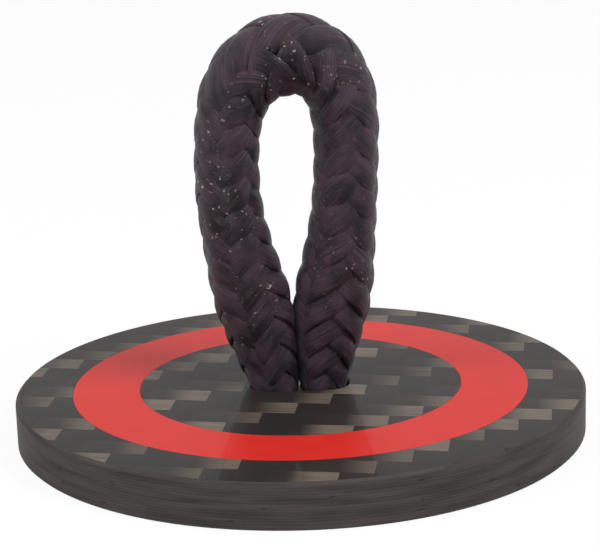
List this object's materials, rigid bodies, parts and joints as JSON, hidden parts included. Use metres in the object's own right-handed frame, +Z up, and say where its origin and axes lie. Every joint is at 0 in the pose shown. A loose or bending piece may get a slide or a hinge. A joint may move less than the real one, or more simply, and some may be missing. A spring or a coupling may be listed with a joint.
{
  "type": "pad eye",
  "caption": "Soft-loop pad eye: a round carbon laminate plate with an inlaid ring and a standing braided rope loop as its eye.",
  "frame": {"origin": "centre of the plate's flat bonding face", "axes": "+Z up out of the deck, X across the loop's two legs, Y through the eye"},
  "size_m": [0.06, 0.06, 0.0432],
  "materials": {
    "carbon_laminate": "twill carbon laminate under gloss resin",
    "red_gelcoat": "pigmented resin, satin gloss",
    "rope": "coated twelve-strand braid",
    "rope_core": "braid buried in the cover",
    "pin_metal": "ground",
    "potting_resin": "filled epoxy, sanded flush"
  },
  "bodies": {
    "plate": {"base_plate": "carbon_laminate", "ring_inlay": "red_gelcoat", "retaining_pin": "pin_metal", "rope_root": "rope", "potting_plug": "potting_resin"},
    "loop": {"loop_cover": "rope", "loop_core": "rope_core"}
  },
  "joints": [
    {"name": "loop_lean", "type": "hinge", "parent": "plate", "child": "loop", "pos_m": [0, 0, 0.0069], "axis": [1, 0, 0], "range_deg": [-60, 60], "stiffness_Nm_per_rad": 0.01}
  ]
}
